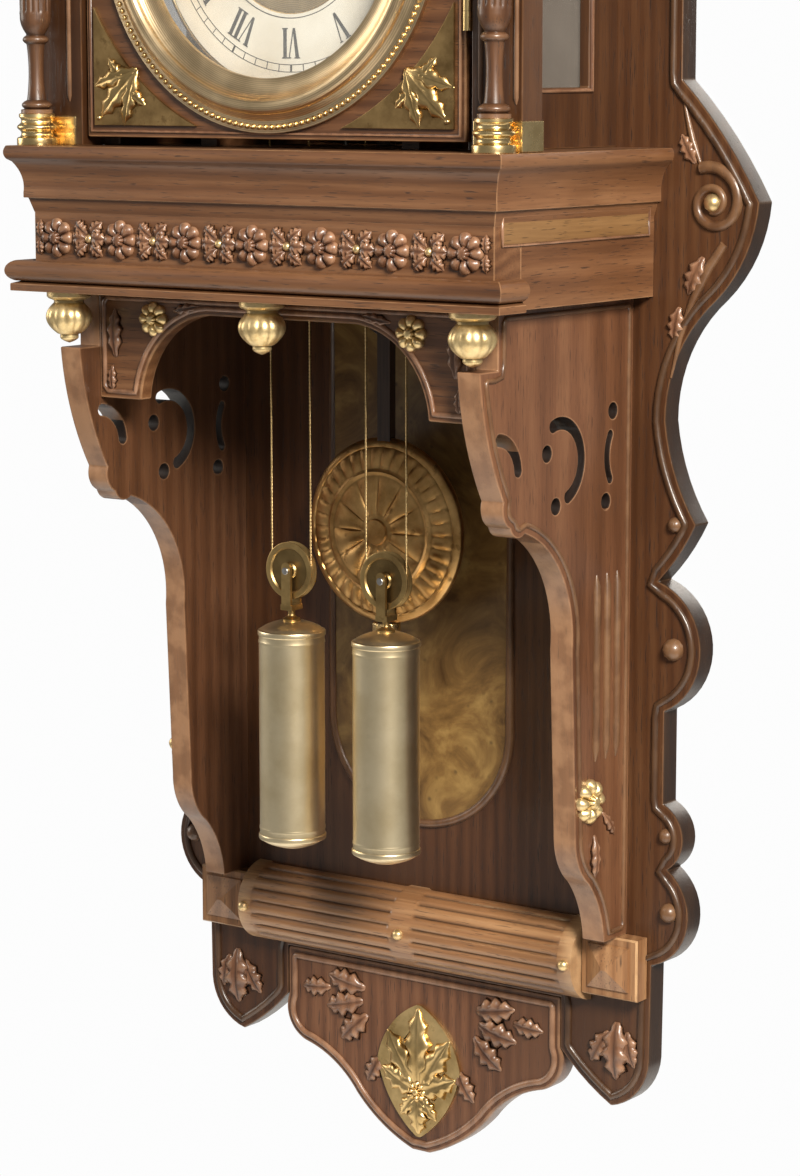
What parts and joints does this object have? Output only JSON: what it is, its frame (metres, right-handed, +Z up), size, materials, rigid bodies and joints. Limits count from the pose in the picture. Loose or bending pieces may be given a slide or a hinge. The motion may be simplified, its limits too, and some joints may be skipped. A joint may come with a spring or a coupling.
{
  "type": "wall regulator clock",
  "caption": "Carved walnut wall regulator clock with a glazed hood, weights on pulleys, a free-hanging pendulum, going and strike trains, a gong and an opening dial door.",
  "frame": {"origin": "centre of the hanger plate's hole in the back of the case, in the plane of the wall", "axes": "+Z up, the dial faces -Y, +Y points into the wall"},
  "size_m": [0.546, 0.253, 1.2856],
  "materials": {
    "walnut": "polished reddish brown",
    "dark_wood": "ebonised",
    "brass": "polished and lacquered",
    "steel": "blued or plain",
    "glass": "clear",
    "cream": "cream enamel with dark numbers",
    "line": "stranded wire line"
  },
  "bodies": {
    "case": {"backboard": "walnut", "hanger_plate": "steel", "left_side_bracket": "walnut", "right_side_bracket": "walnut", "bolster": "walnut", "foot_blocks": "walnut", "bottom_apron": "walnut", "apron_mount": "brass", "carved_rosettes": "walnut", "hood_floor": "walnut", "frieze_boards": "walnut", "base_mouldings": "walnut", "arch_valance_with_pendants": "walnut", "hood_sides": "walnut", "side_window_glass": "glass", "corner_columns": "walnut", "column_brasses": "brass", "hood_roof": "walnut", "cornice": "walnut", "crest_board": "walnut", "crest_finials": "walnut", "hinge_fixed_leaves": "brass", "dial_plate": "brass", "chapter_ring": "cream", "movement_front_plate": "brass", "movement_back_plate": "brass", "movement_seat": "walnut", "suspension_cock": "brass", "strike_gong": "steel", "time_line": "line", "strike_line": "line"},
    "door": {"door_frame": "walnut", "bezel": "brass", "door_glass": "glass", "door_corner_mounts": "brass", "door_knob": "brass", "hinge_door_leaves": "brass"},
    "pendulum": {"suspension_spring": "steel", "pendulum_rod": "dark_wood", "pendulum_bob": "brass", "rating_nut": "brass"},
    "anchor": {"anchor_and_crutch": "steel"},
    "escape_wheel": {"escape_wheel": "brass"},
    "third_wheel": {"third_wheel": "brass"},
    "centre_wheel": {"centre_wheel": "brass"},
    "time_great_wheel": {"time_great_wheel": "brass"},
    "minute_hand": {"minute_hand": "steel"},
    "hour_hand": {"hour_hand": "steel"},
    "minute_wheel": {"minute_wheel": "brass"},
    "time_barrel": {"time_barrel": "brass"},
    "time_weight": {"time_weight": "brass"},
    "time_pulley": {"time_pulley": "brass"},
    "strike_barrel": {"strike_barrel": "brass"},
    "strike_weight": {"strike_weight": "brass"},
    "strike_pulley": {"strike_pulley": "brass"},
    "strike_great_wheel": {"strike_great_wheel": "brass"},
    "strike_pin_wheel": {"strike_pin_wheel": "brass"},
    "strike_locking_wheel": {"strike_locking_wheel": "brass"},
    "strike_fly": {"strike_fly": "brass"},
    "strike_hammer": {"strike_hammer": "steel"}
  },
  "joints": [
    {"name": "door_swing", "type": "hinge", "parent": "case", "child": "door", "pos_m": [0.161, -0.1945, -0.17], "axis": [0, 0, 1], "range_deg": [0, 100]},
    {"name": "pendulum_swing", "type": "hinge", "parent": "case", "child": "pendulum", "pos_m": [0, -0.06, -0.101], "axis": [0, 1, 0], "range_deg": [-3.5, 3.5]},
    {"name": "anchor_rock", "type": "hinge", "parent": "case", "child": "anchor", "pos_m": [0, -0.118, -0.101], "axis": [0, 1, 0], "range_deg": [-3.5, 3.5]},
    {"name": "third_wheel_spin", "type": "hinge", "parent": "case", "child": "third_wheel", "pos_m": [0.014, -0.118, -0.14575], "axis": [0, 1, 0], "continuous": true},
    {"name": "escape_wheel_spin", "type": "hinge", "parent": "case", "child": "escape_wheel", "pos_m": [0, -0.118, -0.1266], "axis": [0, 1, 0], "continuous": true},
    {"name": "centre_wheel_spin", "type": "hinge", "parent": "case", "child": "centre_wheel", "pos_m": [0, -0.118, -0.17], "axis": [0, 1, 0], "continuous": true},
    {"name": "time_great_wheel_spin", "type": "hinge", "parent": "case", "child": "time_great_wheel", "pos_m": [0.036, -0.118, -0.1815], "axis": [0, 1, 0], "continuous": true},
    {"name": "minute_hand_turn", "type": "hinge", "parent": "case", "child": "minute_hand", "pos_m": [0, -0.175, -0.17], "axis": [0, 1, 0], "continuous": true},
    {"name": "minute_wheel_turn", "type": "hinge", "parent": "case", "child": "minute_wheel", "pos_m": [0, -0.15, -0.1892], "axis": [0, 1, 0], "continuous": true},
    {"name": "hour_hand_turn", "type": "hinge", "parent": "case", "child": "hour_hand", "pos_m": [0, -0.171, -0.17], "axis": [0, 1, 0], "continuous": true},
    {"name": "time_weight_lift", "type": "slide", "parent": "case", "child": "time_weight", "axis": [0, 0, 1], "range_m": [0, 0.24], "deforming": ["time_line"]},
    {"name": "time_pulley_spin", "type": "hinge", "parent": "time_weight", "child": "time_pulley", "pos_m": [0.041, -0.117, -0.615], "axis": [0, 1, 0], "range_deg": [0, 811]},
    {"name": "time_barrel_spin", "type": "hinge", "parent": "case", "child": "time_barrel", "pos_m": [0.036, -0.117, -0.1815], "axis": [0, 1, 0], "range_deg": [0, 2294]},
    {"name": "strike_weight_lift", "type": "slide", "parent": "case", "child": "strike_weight", "axis": [0, 0, 1], "range_m": [0, 0.24], "deforming": ["strike_line"]},
    {"name": "strike_pulley_spin", "type": "hinge", "parent": "strike_weight", "child": "strike_pulley", "pos_m": [-0.041, -0.117, -0.615], "axis": [0, 1, 0], "range_deg": [-811, 0]},
    {"name": "strike_barrel_spin", "type": "hinge", "parent": "case", "child": "strike_barrel", "pos_m": [-0.036, -0.117, -0.1815], "axis": [0, 1, 0], "range_deg": [-2294, 0]},
    {"name": "strike_locking_wheel_spin", "type": "hinge", "parent": "case", "child": "strike_locking_wheel", "pos_m": [-0.036, -0.118, -0.12192], "axis": [0, 1, 0], "continuous": true},
    {"name": "strike_pin_wheel_spin", "type": "hinge", "parent": "case", "child": "strike_pin_wheel", "pos_m": [-0.046, -0.118, -0.14505], "axis": [0, 1, 0], "continuous": true},
    {"name": "strike_great_wheel_spin", "type": "hinge", "parent": "case", "child": "strike_great_wheel", "pos_m": [-0.036, -0.118, -0.1815], "axis": [0, 1, 0], "continuous": true},
    {"name": "strike_fly_spin", "type": "hinge", "parent": "case", "child": "strike_fly", "pos_m": [-0.05, -0.118, -0.10879], "axis": [0, 1, 0], "continuous": true},
    {"name": "strike_hammer_lift", "type": "hinge", "parent": "case", "child": "strike_hammer", "pos_m": [-0.04, -0.032, -0.232], "axis": [0, 1, 0], "range_deg": [0, 8]}
  ],
  "couplings": [
    {"joint": "anchor_rock", "follows": "pendulum_swing", "ratio": 1},
    {"joint": "escape_wheel_spin", "follows": "third_wheel_spin", "ratio": -8.125},
    {"joint": "centre_wheel_spin", "follows": "third_wheel_spin", "ratio": -0.11111},
    {"joint": "time_great_wheel_spin", "follows": "third_wheel_spin", "ratio": 0.018519},
    {"joint": "minute_wheel_turn", "follows": "minute_hand_turn", "ratio": -0.33333},
    {"joint": "hour_hand_turn", "follows": "minute_hand_turn", "ratio": 0.083333},
    {"joint": "time_pulley_spin", "follows": "time_weight_lift", "rad_per_m": 58.824},
    {"joint": "time_barrel_spin", "follows": "time_weight_lift", "rad_per_m": 166.67},
    {"joint": "strike_pulley_spin", "follows": "strike_weight_lift", "rad_per_m": -58.824},
    {"joint": "strike_barrel_spin", "follows": "strike_weight_lift", "rad_per_m": -166.67},
    {"joint": "strike_pin_wheel_spin", "follows": "strike_locking_wheel_spin", "ratio": -0.125},
    {"joint": "strike_great_wheel_spin", "follows": "strike_locking_wheel_spin", "ratio": 0.020833},
    {"joint": "strike_fly_spin", "follows": "strike_locking_wheel_spin", "ratio": -7}
  ]
}
